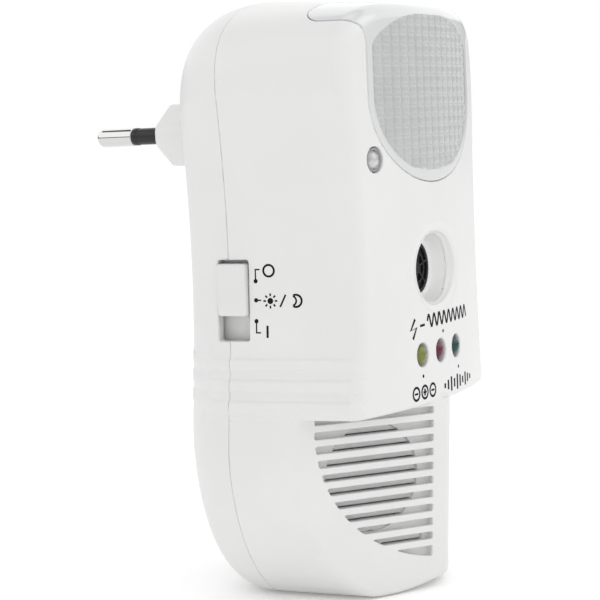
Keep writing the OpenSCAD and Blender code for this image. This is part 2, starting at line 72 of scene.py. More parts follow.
GRILLE_Z, GRILLE_A, GRILLE_B, GRILLE_RIDGE, GRILLE_DEPTH = -3.0, 33.7, 29.6, 4.6, 1.8
SLATS, SLAT_PITCH, SLAT_HALF, SLAT_DRAFT = 9, 2.93, 0.725, 0.09
SPEAKER_U, SPEAKER_Z, SPEAKER_R = 18.8, -14.5, 11.3
HORN_Z, HORN_A, HORN_B, HORN_BACK_Y = -29.5, 10.3, 7.65, -50.0
CAPSULE_R, CAPSULE_Y = 5.5, -51.6
LAMP_Z, LAMP_PITCH, LAMP_HOLE_R, LAMP_BASE_Y = -46.6, 8.4, 2.45, -49.0
SENSOR, SENSOR_HOLE_R = (-23.1, -6.4), 2.6
WINDOW = (-28.9, -21.9, -41.45, -25.25)
KNOB, KNOB_TOP_X = (-28.7, -22.1, -36.45, -25.95), -32.5
KNOB_PLATE, KNOB_STEM = (-30, -20.8, -42.3, -19.6), (-28.2, -22.6, -34.7, -27.7)
KNOB_SOCKET = (-27.1, -23.7, -32.8, -29.6)
SCREWS = ((-22, 15.5), (22, 15.5), (0, -88.6))
PIN_X = 9.3
SHARP_EDGE = 40  # degrees


def smin(a, b, k):
    """Smaller of two values, blended over a width k."""
    h = np.maximum(k - np.abs(a - b), 0) / k
    return np.minimum(a, b) - h * h * k / 4


def both(a, b, r):
    """Intersection of two solids, with the edge rounded to radius r."""
    return np.minimum(np.maximum(a, b), -r) + np.sqrt(np.maximum(a + r, 0) ** 2 + np.maximum(b + r, 0) ** 2)


def either(a, b, r):
    """Union of two solids, with the corner filled to radius r."""
    return -both(-a, -b, r)


def less(a, b, r):
    """Solid a with b cut out of it, with the edge rounded to radius r."""
    return both(a, -b, r)


def bevel(a, b, r):
    """Intersection of two solids, with a small flat along the edge."""
    return np.maximum(np.maximum(a, b), (a + b + r) * 0.7071)


def step(t):
    """Smooth rise from 0 to 1 as t goes from 0 to 1."""
    t = np.clip(t, 0, 1)
    return t * t * (3 - 2 * t)


def side_half(z):
    """Half width of the case at the seam, which is narrowest at the waist."""
    d = smin(np.abs(z - WAIST_Z), BELLY_REACH, 6.0)
    return WAIST_HALF + np.where(z < WAIST_Z, BELLY_LOW, BELLY) * (d / BELLY_REACH) ** 2


def loft_raw(x, y, z, ribs=True):
    """How far a point lies outside the lofted case, not yet a true distance, and its height on the seam."""
    ax = np.abs(x)
    t = np.clip((y - SEAM_Y) / (REAR_Y - SEAM_Y), 0, 0.9995)
    dome = 1 - np.sqrt(1 - t * t)
    f = np.clip((SEAM_Y - y) / TAPER_LENGTH, 0, 1.3)
    sx = 1 - REAR_NARROW * dome - FRONT_NARROW * f ** 1.5
    st = 1 - REAR_TOP * dome - FRONT_TOP * f
    sl = 1 - REAR_LOW * dome
    X = ax / sx
    Z = SCALE_Z + (z - SCALE_Z) / np.where(z > SCALE_Z, st, sl)
    S = side_half(Z)
    if ribs:
        for c in RIBS:
            S = S + RIB_RISE * step((RIB_HALF - np.abs(Z - c)) / RIB_EDGE)
    H = side_half(np.float32(CROWN_Z))
    D = TOP_Z - CROWN_Z
    up = np.maximum(Z - CROWN_Z, 1e-4) / D
    P = CROWN_P + CROWN_EXTRA * np.minimum(f, 1)
    crown = ((np.maximum(X, 1e-4) / H) ** P + up ** P) ** (1 / P) * H - H
    down = np.maximum(SKIRT_Z - Z, 1e-4) / SKIRT_DROP
    skirt = (((np.maximum(X, 1e-4) / S) ** SKIRT_P + down ** SKIRT_P) ** (1 / SKIRT_P) - 1) * S
    return np.where(Z > CROWN_Z, crown, np.where(Z < SKIRT_Z, skirt, X - S)), Z


def loft(x, y, z, ribs=True):
    """Distance to the lofted case, near enough, negative inside."""
    e = 0.04
    f0, Z = loft_raw(x, y, z, ribs)
    gx = loft_raw(x + e, y, z, ribs)[0] - f0
    gy = loft_raw(x, y + e, z, ribs)[0] - f0
    gz = loft_raw(x, y, z + e, ribs)[0] - f0
    d = f0 * e / np.sqrt(gx * gx + gy * gy + gz * gz + 1e-9)
    return both(d, BOTTOM_Z - Z, 0.9)


def face(x, y):
    """Distance outside the bowed front."""
    return np.sqrt(x * x + (y - FRONT_Y - BOW_R) ** 2) - BOW_R


def prow_frame(x, y, z):
    """Coordinates on the grille's two faces: along one, behind it, up it, and behind it with a soft ridge."""
    yy = (y - PROW_Y) * math.cos(LEAN) + (z - LEDGE_Z) * math.sin(LEAN)
    zz = -(y - PROW_Y) * math.sin(LEAN) + (z - LEDGE_Z) * math.cos(LEAN)
    ax = np.abs(x)
    u = math.cos(YAW) * ax + math.sin(YAW) * yy
    w = -math.sin(YAW) * ax + math.cos(YAW) * yy
    soft = math.cos(YAW) * yy - math.sin(YAW) * np.sqrt(ax * ax + 2.2)
    return u, w, zz, soft + math.sin(YAW) * 0.25


def lens_outline(x, z, grow=0.0):
    """Distance outside the night-light lens outline, seen from the front."""
    a, b = LENS_HALF + grow, LENS_CROWN_Z - LENS_TIP_Z + grow
    X, Z = np.abs(x), np.minimum(z - LENS_CROWN_Z, 0)
    q = np.sqrt((X / a) ** 2 + (Z / b) ** 2) + 1e-6
    g = np.sqrt((X / a ** 2) ** 2 + (Z / b ** 2) ** 2) / q + 1e-6
    return either((q - 1) / g, LENS_FLARE_Z - grow - z, 5.0)


def lens_space(x, y, z, grow=0.0):
    """Distance outside the room that the lens fills in the front cover."""
    return both(lens_outline(x, z, grow), y - LENS_BACK_Y - grow, 4.0)


def edge_r(z):
    """Radius of the edge between the front and the sides, which grows towards the top."""
    return 2.0 + 1.0 * step((z - 2) / 16)


def case_solid(x, y, z, d):
    """The front half of the case as a solid block, from the lofted distance d."""
    upper = both(both(d, face(x, y), edge_r(z)), LEDGE_Z - z, 0.9)
    u, w, zz, soft = prow_frame(x, y, z)
    prow = both(both(d, -soft, 1.1), zz - 0.6, 0.5)
    chin = (BOTTOM_Z + (CHIN_Y - y) * CHIN_SLOPE - z) * CHIN_SCALE
    return both(either(upper, prow, 0.5), chin, 1.0), u, w, zz


def grille(u, w, zz):
    """The cut-outs of one grille face: (recess between the slats, slots through the wall)."""
    rim = (np.sqrt((u / GRILLE_A) ** 2 + ((zz - GRILLE_Z) / GRILLE_B) ** 2) - 1) * 29
    k = np.clip(np.round((GRILLE_Z - zz) / SLAT_PITCH), 0, SLATS)
    above = zz - GRILLE_Z + k * SLAT_PITCH
    slat = np.abs(above) - SLAT_HALF + SLAT_DRAFT * np.maximum(w, 0)
    area = both(both(rim, GRILLE_RIDGE - u, 0.5), zz + 0.9, 0.3)
    recess = both(both(area, w - GRILLE_DEPTH, 0.25), -slat, 0.28)
    disc = np.sqrt((u - SPEAKER_U) ** 2 + (zz - SPEAKER_Z) ** 2) - SPEAKER_R
    last_gap = both(area + 0.3, np.abs(zz - GRILLE_Z + (SLATS - 0.5) * SLAT_PITCH) - 1.4, 0.2)
    last_gap = both(last_gap, 6.2 - u, 0.2)
    sound = np.minimum(disc, last_gap)
    recess = np.minimum(recess, np.maximum(both(sound, np.abs(w - 1.85) - 0.5, 0.2), -slat))
    slot = np.maximum(both(sound, np.abs(w - 3.4) - 1.6, 0.1), np.maximum(-slat, slat - 0.22))
    slot = np.maximum(slot, -above)
    return recess, slot


def funnel(x, y, z):
    """Dish of the sound opening, from the front face down to the capsule."""
    t = np.clip((y - FRONT_Y + 1) / (CAPSULE_Y - FRONT_Y + 1), -0.5, 1)
    a = HORN_A + (CAPSULE_R + 0.15 - HORN_A) * t + 0.6
    b = HORN_B + (CAPSULE_R + 0.15 - HORN_B) * t + 0.35
    q = np.sqrt((x / a) ** 2 + ((z - HORN_Z) / b) ** 2)
    return (q - 1) * b * 0.8


def box_2d(a, b, a0, a1, b0, b1, r):
    """Distance outside a rectangle with corners of radius r."""
    u = np.abs(a - (a0 + a1) / 2) - (a1 - a0) / 2 + r
    v = np.abs(b - (b0 + b1) / 2) - (b1 - b0) / 2 + r
    return np.sqrt(np.maximum(u, 0) ** 2 + np.maximum(v, 0) ** 2) + np.minimum(np.maximum(u, v), 0) - r


def window(x, y, z):
    """Distance outside the opening for the switch knob, which cuts both covers."""
    return np.maximum(box_2d(y, z, *WINDOW, 0.5), x + 26)


def post(x, z, r):
    """Distance outside cylinders of radius r round the case screws."""
    return np.minimum.reduce([np.sqrt((x - a) ** 2 + (z - b) ** 2) - r for a, b in SCREWS])


def front_cover(x, y, z):
    """The front cover: a 2 mm shell with its posts, grille, lens room, dish, holes and switch window."""
    d = loft(x, y, z)
    solid, u, w, zz = case_solid(x, y, z, d)
    upper = both(d + WALL, face(x, y) + WALL, np.maximum(edge_r(z) - WALL, 0.05))
    lower = np.maximum(np.maximum(d + WALL, PROW_WALL - w), z - LEDGE_Z - 3)
    cavity = np.minimum(np.maximum(upper, LEDGE_Z + WALL - z), lower)
    dish = np.maximum(funnel(x, y, z), y - HORN_BACK_Y)
    solid = less(solid, dish, 1.7)
    shell = np.maximum(solid, -cavity)
    posts = np.maximum(np.maximum(post(x, z, 3.4), y - SEAM_Y + 0.15), np.maximum(solid + 1, -40 - y))
    shell = np.minimum(shell, posts)
    shell = less(shell, np.maximum(post(x, z, 1.35), -38 - y), 0.1)
    recess, hole = grille(u, w, zz)
    shell = less(shell, recess, 0.22)
    shell = less(shell, hole, 0.08)
    shell = less(shell, lens_space(x, y, z, 0.1), 0.3)
    shell = np.maximum(shell, -dish)
    for k in (-1, 0, 1):
        lamp = np.sqrt((x - k * LAMP_PITCH) ** 2 + (z - LAMP_Z) ** 2) - LAMP_HOLE_R
        shell = less(shell, np.maximum(lamp, y + 48), 0.35)
    eye = np.sqrt((x - SENSOR[0]) ** 2 + (z - SENSOR[1]) ** 2) - SENSOR_HOLE_R
    shell = less(shell, np.maximum(eye, y + 45), 0.3)
    shell = less(shell, window(x, y, z), 0.25)
    return bevel(shell, y - SEAM_Y, 0.11)


def rear_cover(x, y, z):
    """The rear cover: a 2 mm shell with its screw posts, plug opening and half of the switch window."""
    d = both(loft(x, y, z), y - REAR_Y, 0.6)
    shell = np.maximum(d, -(d + WALL))
    posts = np.maximum(np.maximum(post(x, z, 4.4), SEAM_Y + 0.15 - y), d + 0.8)
    shell = np.minimum(shell, posts)
    shell = less(shell, np.maximum(post(x, z, 3.1), -19 - y), 0.3)
    shell = less(shell, post(x, z, 1.7), 0.1)
    shell = less(shell, np.maximum(boss_outline(x, z, 0.12), -16 - y), 0.3)
    shell = less(shell, window(x, y, z), 0.25)
    return bevel(shell, SEAM_Y - y, 0.11)


BOSS = ((10.9, 6.7), (17.15, 2.2), (17.65, 0.0))


def boss_outline(x, z, grow=0.0):
    """Distance outside the plug boss outline, with its corners rounded."""
    X, Z = np.abs(x), np.abs(z)
    (x0, z0), (x1, z1), (nose, _) = BOSS
    n = np.array([z0 - z1, x1 - x0]) / math.hypot(z0 - z1, x1 - x0)
    slant = (X - x0) * n[0] + (Z - z0) * n[1]
    return both(both(Z - z0, slant, 0.5), X - nose + 0.05, 1.1) - grow


def plug_insert(x, y, z):
    """Six-sided plug boss with the flange that holds it in the rear cover, bored for pins and sleeves."""
    draft = (y + 8) * 0.02
    body = both(boss_outline(x, z, -draft), y, 0.4)
    body = np.maximum(body, -14 - y)
    flange = np.maximum(box_2d(x, z, -19.5, 19.5, -9, 9, 1.5), np.abs(y + 14.8) - 0.8)
    body = np.minimum(body, flange)
    for side in (-1, 1):
        pin = np.sqrt((x - side * PIN_X) ** 2 + z * z)
        body = less(body, pin - 1.86, 0.2)
        body = np.maximum(body, -np.maximum(pin - 2.22, y + 2.95))
    return body


def knob(x, y, z):
    """Switch knob with a slightly hollow top, on its dust plate and the stem that grips the actuator."""
    cap = both(box_2d(y, z, *KNOB, 0.7), KNOB_TOP_X - x, 0.6)
    cap = np.maximum(cap, x + 28.4)
    dish = 0.16 * step(1 - np.abs(z + 31.2) / 5.25) * step(1 - np.abs(y + 25.4) / 3.3)
    cap = cap + dish * step((-31 - x) / 1.0)
    plate = np.maximum(box_2d(y, z, *KNOB_PLATE, 0.5), np.abs(x + 28.2) - 0.4)
    stem = np.maximum(box_2d(y, z, *KNOB_STEM, 0.4), np.abs(x + 26.5) - 1.45)
    stem = np.maximum(stem, -np.maximum(box_2d(y, z, *KNOB_SOCKET, 0.2), -26.7 - x))
    return np.minimum(np.minimum(cap, plate), stem)


def cells(x, z):
    """Relief of the small pillow-shaped cells of the lens, 0 in the grooves and highest mid-cell."""
    a = np.abs((x / CELL_W) % 1.0 - 0.5) * 2
    b = np.abs((z / CELL_H) % 1.0 - 0.5) * 2
    return (0.35 + 0.65 * (1 - a ** 3)) * (1 - b ** 3) * step((0.95 - a) / 0.25) * step((0.95 - b) / 0.3)


def lens_zone(x, z):
    """Distance outside the textured zone of the lens."""
    side = lens_outline(x, np.minimum(z, 12.0), -1.6)
    tip = LENS_TIP_Z + 2.4 + (x * 0.05) ** 2 - z
    arch = z - 22.3 + 1.5 * np.abs(x / 14.6) ** 3
    return both(both(side, tip, 1.2), arch, 1.5)


def lens(x, y, z):
    """Night-light lens: a skin in the case's own surface, with its cells sunk into it."""
    d = loft(x, y, z, ribs=False)
    outer = both(d, face(x, y), edge_r(z)) + 0.03
    zone = lens_zone(x, z)
    relief = CELL_RELIEF * (1 - cells(x, z)) * step(-zone / 0.5) + 0.1 * step(-zone / 0.3)
    shell = np.maximum(outer + relief, -(outer + LENS_T))
    return both(shell, lens_space(x, y, z, 0.03), 0.35)


# ---------------------------------------------------------------- meshing
def spaced(lo, hi, h, zones):
    """Grid values from lo to hi, h apart, and closer in each zone (from, to, step)."""
    values = [lo - 1.5 * h]
    while values[-1] < hi + 1.5 * h:
        near = [s for a, b, s in zones if a <= values[-1] < b]
        values.append(values[-1] + (near[0] if near else h))
    return np.array(values, np.float32)


def surface_nets(f, lo, hi, h, fine):
    """Quads on the surface f = 0 inside a box; fine lists closer grid zones for each axis."""
    axes = [spaced(lo[i], hi[i], h, fine.get("xyz"[i], ())) for i in range(3)]
    F = np.empty([len(a) for a in axes], np.float32)
    slab = 24
    for i in range(0, len(axes[0]), slab):
        F[i:i + slab] = f(*np.meshgrid(axes[0][i:i + slab], axes[1], axes[2], indexing="ij"))
    inside = F < 0
    count = np.zeros([n - 1 for n in F.shape], np.uint8)
    corners = [(a, b, c) for a in (0, 1) for b in (0, 1) for c in (0, 1)]
    shape = count.shape
    for a, b, c in corners:
        count += inside[a:a + shape[0], b:b + shape[1], c:c + shape[2]]
    active = (count > 0) & (count < 8)
    index = np.full(shape, -1, np.int64)
    cell = np.argwhere(active)
    index[active] = np.arange(len(cell))
    value = {k: F[cell[:, 0] + k[0], cell[:, 1] + k[1], cell[:, 2] + k[2]] for k in corners}
    total = np.zeros((len(cell), 3))
    hits = np.zeros(len(cell))
    for k in corners:
        for axis in range(3):
            if k[axis] == 0:
                other = tuple(1 if i == axis else k[i] for i in range(3))
                a, b = value[k], value[other]
                cross = (a < 0) != (b < 0)
                t = np.where(cross, a / np.where(cross, a - b, 1), 0)
                p = np.tile(np.array(k, float), (len(cell), 1))
                p[:, axis] += t
                total += p * cross[:, None]
                hits += cross
    part_way = total / hits[:, None]
    points = np.empty((len(cell), 3))
    for i in range(3):
        a, b = axes[i][cell[:, i]], axes[i][cell[:, i] + 1]
        points[:, i] = a + (b - a) * part_way[:, i]
    quads = []
    for axis in range(3):
        s0 = [slice(None)] * 3
        s1 = [slice(None)] * 3
        s0[axis], s1[axis] = slice(None, -1), slice(1, None)
        a, b = inside[tuple(s0)], inside[tuple(s1)]
        e = np.argwhere(a != b)
        o1, o2 = [i for i in range(3) if i != axis]
        e = e[(e[:, o1] > 0) & (e[:, o2] > 0) & (e[:, o1] < shape[o1]) & (e[:, o2] < shape[o2])]
        ring = []
        for d1, d2 in ((1, 1), (0, 1), (0, 0), (1, 0)):
            c = e.copy()
            c[:, o1] -= d1
            c[:, o2] -= d2
            ring.append(index[c[:, 0], c[:, 1], c[:, 2]])
        q = np.stack(ring, 1)
        flip = a[e[:, 0], e[:, 1], e[:, 2]] ^ (axis == 1)
        q[~flip] = q[~flip][:, ::-1]
        quads.append(q)
    quads = np.concatenate(quads)
    return points, quads[(quads >= 0).all(1)]


def gradient(f, p):
    """Slope of f at points p."""
    e = 0.03
    out = np.empty_like(p)
    for i in range(3):
        d = np.zeros(3)
        d[i] = e
        a, b = p + d, p - d
        out[:, i] = (f(a[:, 0], a[:, 1], a[:, 2]) - f(b[:, 0], b[:, 1], b[:, 2])) / (2 * e)
    return out


def onto(f, p, limit, turns=3):
    """Points p moved onto the surface f = 0, by at most limit a turn."""
    for _ in range(turns):
        g = gradient(f, p)
        v = f(p[:, 0], p[:, 1], p[:, 2])
        move = -(v / np.maximum((g * g).sum(1), 0.05))[:, None] * g
        size = np.linalg.norm(move, axis=1, keepdims=True)
        p = p + move * np.minimum(1, limit / np.maximum(size, 1e-9))
    return p


def relax(points, quads, turns):
    """Points moved halfway to the mean of their neighbours, once a turn."""
    for _ in range(turns):
        total, n = np.zeros_like(points), np.zeros(len(points))
        for i in range(4):
            a, b = quads[:, i], quads[:, (i + 1) % 4]
            for s, t in ((a, b), (b, a)):
                for k in range(3):
                    total[:, k] += np.bincount(s, points[t, k], len(points))
                n += np.bincount(s, minlength=len(points))
        points = points + 0.5 * (total / n[:, None] - points)
    return points


def add_object(name, mesh, body="housing", slot=None, material=None, replaces=()):
    """A piece from a mesh, with its body, material and the CAD nodes it stands for. The slot argument is not
    used.
    """
    obj = bpy.data.objects.new(name, mesh)
    bpy.context.scene.collection.objects.link(obj)
    if material is not None:
        for m in material if isinstance(material, (list, tuple)) else [material]:
            mesh.materials.append(m)
    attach(obj, body)
    if replaces:
        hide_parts(*replaces)
    return obj


def moulded(name, f, lo, hi, h, faces, fine=None, **kw):
    """A closed piece from its distance function: meshed, thinned where it is flat, and shaded from the form."""
    h *= DETAIL
    fine = {axis: [(a, b, s * DETAIL) for a, b, s in zones] for axis, zones in (fine or {}).items()}
    points, quads = surface_nets(f, lo, hi, h, fine)
    points = onto(f, relax(points, quads, 2), h)
    mesh = bpy.data.meshes.new(name)
    mesh.from_pydata((points * MM).tolist(), [], quads.tolist())
    raw = bpy.data.objects.new(name + "_raw", mesh)
    bpy.context.scene.collection.objects.link(raw)
    thin = raw.modifiers.new("thin", "DECIMATE")
    thin.ratio = min(1.0, faces / (2 * len(quads)) / DETAIL)
    dg = bpy.context.evaluated_depsgraph_get()
    final = bpy.data.meshes.new_from_object(raw.evaluated_get(dg))
    bpy.data.objects.remove(raw)
    final.name = name
    p = np.empty(len(final.vertices) * 3, np.float32)
    final.vertices.foreach_get("co", p)
    p = onto(f, p.reshape(-1, 3).astype(float) / MM, h * 0.5, 2)
    final.vertices.foreach_set("co", (p * MM).astype(np.float32).ravel())
    final.update()
    final.shade_smooth()
    g = gradient(f, p)
    g /= np.maximum(np.linalg.norm(g, axis=1, keepdims=True), 1e-6)
    final.normals_split_custom_set_from_vertices(g.tolist())
    print("moulded", name, len(quads), "quads ->", len(final.polygons))
    return add_object(name, final, **kw)


# ---------------------------------------------------------------- materials
def material(name, colour, rough=0.4, spec=0.5, metallic=0.0, vary=0.02, vary_scale=60.0, bump=0.02,
             bump_scale=900.0, rough_vary=0.05, **sockets):
    """Principled material whose colour and roughness vary a little, with a fine surface grain."""
    m = bpy.data.materials.new(name)
    m.use_nodes = True
    nt = m.node_tree
    p = nt.nodes["Principled BSDF"]
    p.inputs["Metallic"].default_value = metallic
    p.inputs["Specular IOR Level"].default_value = spec
    for key, value in sockets.items():
        p.inputs[key.replace("_", " ")].default_value = value
    tc = nt.nodes.new("ShaderNodeTexCoord")
    big = nt.nodes.new("ShaderNodeTexNoise")
    big.inputs["Scale"].default_value = vary_scale
    big.inputs["Detail"].default_value = 3
    nt.links.new(tc.outputs["Object"], big.inputs["Vector"])
    ramp = nt.nodes.new("ShaderNodeValToRGB")
    lo = [max(0, c * (1 - vary)) for c in colour]
    hi = [min(1, c * (1 + vary)) for c in colour]
    ramp.color_ramp.elements[0].position = 0.35
    ramp.color_ramp.elements[1].position = 0.65
    ramp.color_ramp.elements[0].color = (*lo, 1)
    ramp.color_ramp.elements[1].color = (*hi, 1)
    nt.links.new(big.outputs["Fac"], ramp.inputs["Fac"])
    nt.links.new(ramp.outputs["Color"], p.inputs["Base Color"])
    rr = nt.nodes.new("ShaderNodeMapRange")
    rr.inputs["To Min"].default_value = max(0.02, rough - rough_vary)
    rr.inputs["To Max"].default_value = min(1, rough + rough_vary)
    nt.links.new(big.outputs["Fac"], rr.inputs["Value"])
    nt.links.new(rr.outputs["Result"], p.inputs["Roughness"])
    fine = nt.nodes.new("ShaderNodeTexNoise")
    fine.inputs["Scale"].default_value = bump_scale
    fine.inputs["Detail"].default_value = 2
    nt.links.new(tc.outputs["Object"], fine.inputs["Vector"])
    b = nt.nodes.new("ShaderNodeBump")
    b.inputs["Strength"].default_value = bump
    b.inputs["Distance"].default_value = 0.0002
    nt.links.new(fine.outputs["Fac"], b.inputs["Height"])
    nt.links.new(b.outputs["Normal"], p.inputs["Normal"])
    return m


WHITE = material("white_plastic", (0.735, 0.735, 0.73), 0.38, vary=0.012, bump=0.03)
WHITE_REAR = material("white_plastic_rear", (0.73, 0.73, 0.725), 0.42, vary=0.012, bump=0.04)
WHITE_KNOB = material("white_plastic_knob", (0.71, 0.71, 0.705), 0.32)
CLEAR_EDGE = material("clear_lens_edge", (0.66, 0.665, 0.67), 0.16, spec=0.6, vary=0.03, vary_scale=40)
FROSTED = material("frosted_lens_cells", (0.455, 0.458, 0.462), 0.3, spec=0.5, vary=0.03, vary_scale=140,
                   Sheen_Weight=0.8, Sheen_Roughness=0.3)
EYE = material("sensor_lens", (0.50, 0.50, 0.50), 0.2, spec=0.5, vary=0.25, vary_scale=900, bump=0.6,
               bump_scale=1400)
EYE_RING = material("sensor_ring", (0.30, 0.30, 0.30), 0.3)
CHROME = material("pin_metal", (0.64, 0.64, 0.635), 0.07, metallic=1.0, vary=0.02, bump=0.02, bump_scale=500,
                  rough_vary=0.03)
SLEEVE = material("pin_sleeve", (0.014, 0.014, 0.015), 0.34, spec=0.35, vary=0.3, bump=0.1)
CAPSULE = material("capsule_black", (0.009, 0.009, 0.009), 0.5, spec=0.2, vary=0.3, bump=0.1)
INK = material("printed_ink", (0.008, 0.008, 0.009), 0.6, spec=0.1, vary=0.2)

# ---------------------------------------------------------------- the pieces
moulded("front_cover_shell", front_cover, (-35.8, -59, -96.2), (35.8, SEAM_Y + 0.1, 27), 0.36, 130000,
        fine={"z": [(-91, -59, 0.15)], "y": [(SEAM_Y - 0.5, SEAM_Y + 0.5, 0.1)]},
        slot="case_white", material=WHITE, replaces=("front_cover",))
moulded("rear_cover_shell", rear_cover, (-35.8, SEAM_Y - 0.1, -96.2), (35.8, -7.6, 27), 0.5, 50000,
        fine={"y": [(SEAM_Y - 1.5, SEAM_Y + 0.5, 0.1)]},
        slot="case_white", material=WHITE_REAR, replaces=("rear_cover",))
moulded("plug_body", plug_insert, (-20, -16, -9.4), (20, 0.3, 9.4), 0.33, 16000,
        slot="plug_white", material=WHITE_REAR, replaces=("plug_insert",))
moulded("switch_knob_cap", knob, (-32.9, -30.3, -42.7), (-24.6, -20.5, -19.2), 0.24, 14000, body="switch",
        slot="plug_white", material=WHITE_KNOB, replaces=("switch_knob",))
lens_piece = moulded("night_light_cover", lens, (-33.6, -56.8, -12.2), (33.6, -40.8, 27.0), 0.3, 100000,
                     slot="lens_frosted", material=[CLEAR_EDGE, FROSTED], replaces=("night_light_lens",))
for poly in lens_piece.data.polygons:
    textured = lens_zone(np.float64(poly.center.x / MM), np.float64(poly.center.z / MM)) < 0
    poly.material_index = 1 if textured and poly.normal.y < 0.2 else 0


def lathe(name, profile, origin, axis, steps=64, **kw):
    """Closed turned piece: profile is (distance along axis, radius), from one end to the other."""
    bm = bmesh.new()
    axis = Vector(axis).normalized()
    side = axis.orthogonal().normalized()
    up = axis.cross(side)
    rings = []
    for along, radius in profile:
        centre = Vector(origin) + axis * along
        if radius < 1e-4:
            rings.append([bm.verts.new(centre * MM)])
        else:
            rings.append([bm.verts.new((centre + (side * math.cos(a) + up * math.sin(a)) * radius) * MM)
                          for a in (2 * math.pi * k / steps for k in range(steps))])
    for r0, r1 in zip(rings, rings[1:]):
        for k in range(steps):
            a, b = k, (k + 1) % steps
            if len(r0) == 1 and len(r1) > 1:
                bm.faces.new((r0[0], r1[a], r1[b]))
            elif len(r1) == 1 and len(r0) > 1:
                bm.faces.new((r0[a], r1[0], r0[b]))
            elif len(r0) > 1:
                bm.faces.new((r0[a], r1[a], r1[b], r0[b]))
    for ring, turn in ((rings[0], 1), (rings[-1], -1)):
        if len(ring) > 1:
            bm.faces.new(ring[::turn])
    bmesh.ops.recalc_face_normals(bm, faces=bm.faces)
    mesh = bpy.data.meshes.new(name)
    bm.to_mesh(mesh)
    bm.free()
    mesh.shade_smooth()
    mesh.set_sharp_from_angle(angle=math.radians(SHARP_EDGE))
    return add_object(name, mesh, **kw)


def arc(cx, cr, r, a0, a1, n):
    """Profile points on a circle round (cx, cr), from angle a0 to a1 in degrees."""
    angles = [math.radians(a0 + (a1 - a0) * k / n) for k in range(n + 1)]
    return [(cx + r * math.sin(a), cr + r * math.cos(a)) for a in angles]


# root in the boss, neck under the sleeve, free end
PIN_PROFILE = [(-17, 2.0), (-16.8, 2.2), (-3.2, 2.2), (-3, 2.0), (-3, 1.45), (9.9, 1.45), (9.95, 1.85),
               (10.1, 2.0), (17.4, 2.0)] + arc(17.58, 0.6, 1.4, 0, 88, 9) + [(18.98, 0)]
SLEEVE_PROFILE = [(-3, 1.47), (-3, 1.78), (8.7, 1.78), (8.75, 1.84), (8.85, 1.88), (9.8, 1.88), (9.88, 1.85),
                  (9.9, 1.75), (9.9, 1.47), (-3, 1.47)]
for side, word in ((-1, "left"), (1, "right")):
    centre = (side * PIN_X, 0, 0)
    lathe("pin_" + word + "_turned", PIN_PROFILE, centre, (0, 1, 0),
          slot="pin_metal", material=CHROME, replaces=("pin_" + word,))
    lathe("pin_sleeve_" + word + "_moulded", SLEEVE_PROFILE, centre, (0, 1, 0),
          slot="sleeve_black", material=SLEEVE, replaces=("pin_sleeve_" + word,))


def front_point(x, z, out=0.0):
    """Point on the bowed front, moved out from it, in mm."""
    return np.array([x, FRONT_Y + BOW_R - math.sqrt((BOW_R + out) ** 2 - x * x), z])


def skinned(name, rings, **kw):
    """Closed skin through rings that have the same number of points, the last ring joined to the first."""
    bm = bmesh.new()
    made = [[bm.verts.new(Vector(p) * MM) for p in ring] for ring in rings]
    n = len(made[0])
    for r0, r1 in zip(made, made[1:] + made[:1]):
        for k in range(n):
            bm.faces.new((r0[k], r0[(k + 1) % n], r1[(k + 1) % n], r1[k]))
    bmesh.ops.recalc_face_normals(bm, faces=bm.faces)
    mesh = bpy.data.meshes.new(name)
    bm.to_mesh(mesh)
    bm.free()
    mesh.shade_smooth()
    mesh.set_sharp_from_angle(angle=math.radians(SHARP_EDGE))
    return add_object(name, mesh, **kw)


def oval(a, b, y, n=72):
    """Ring of n points round the dish's axis."""
    turns = [2 * math.pi * k / n for k in range(n)]
    return [(a * math.cos(t), y, HORN_Z + b * math.sin(t)) for t in turns]


def horn_size(y):
    """Half width and half height of the dish's inner skin at a depth."""
    t = (y - FRONT_Y + 1) / (CAPSULE_Y - FRONT_Y + 1)
    return (HORN_A + (CAPSULE_R + 0.15 - HORN_A) * t + 0.75, HORN_B + (CAPSULE_R + 0.15 - HORN_B) * t + 0.5)


inner = [(horn_size(y), y) for y in (-55.6, -54.4, -53.2, -52.0)]
rings = [oval(a, b, y) for (a, b), y in inner]
rings += [oval(6.15, 6.1, -51.75), oval(5.62, 5.62, -51.7), oval(5.45, 5.45, -51.6), oval(5.45, 5.45, -43.9),
          oval(7.0, 7.0, -43.9), oval(7.0, 7.0, -51), oval(11.7, 9.05, -53.9), oval(11.5, 8.9, -54.1)]
HORN = material("horn_grey_plastic", (0.75, 0.75, 0.745), 0.4)
skinned("transducer_dish", rings, slot="horn_grey", material=HORN, replaces=("transducer_horn",))


def capsule(x, y, z):
    """Capsule front: a can with a rim, two rings and six spokes over a dark floor."""
    v = z - HORN_Z
    r = np.sqrt(x * x + v * v)
    can = np.maximum(r - 5.4, np.abs(y + 47.4) - 3.6)
    rings = np.minimum(np.abs(r - 1.0) - 0.3, np.minimum(np.abs(r - 3.0) - 0.28, np.abs(r - 5.0) - 0.42))
    turns = (0.3, 0.3 + math.pi / 3, 0.3 + 2 * math.pi / 3)
    spokes = np.minimum.reduce([np.abs(x * math.sin(a) - v * math.cos(a)) - 0.26 for a in turns])
    web = np.maximum(np.maximum(np.minimum(rings, spokes), r - 5.4), np.maximum(CAPSULE_Y - y, y + 50))
    return either(can, web, 0.15)


moulded("transducer_can", capsule, (-5.6, -51.9, HORN_Z - 5.6), (5.6, -43.6, HORN_Z + 5.6), 0.17, 24000,
        slot="capsule_black", material=CAPSULE, replaces=("transducer_capsule",))

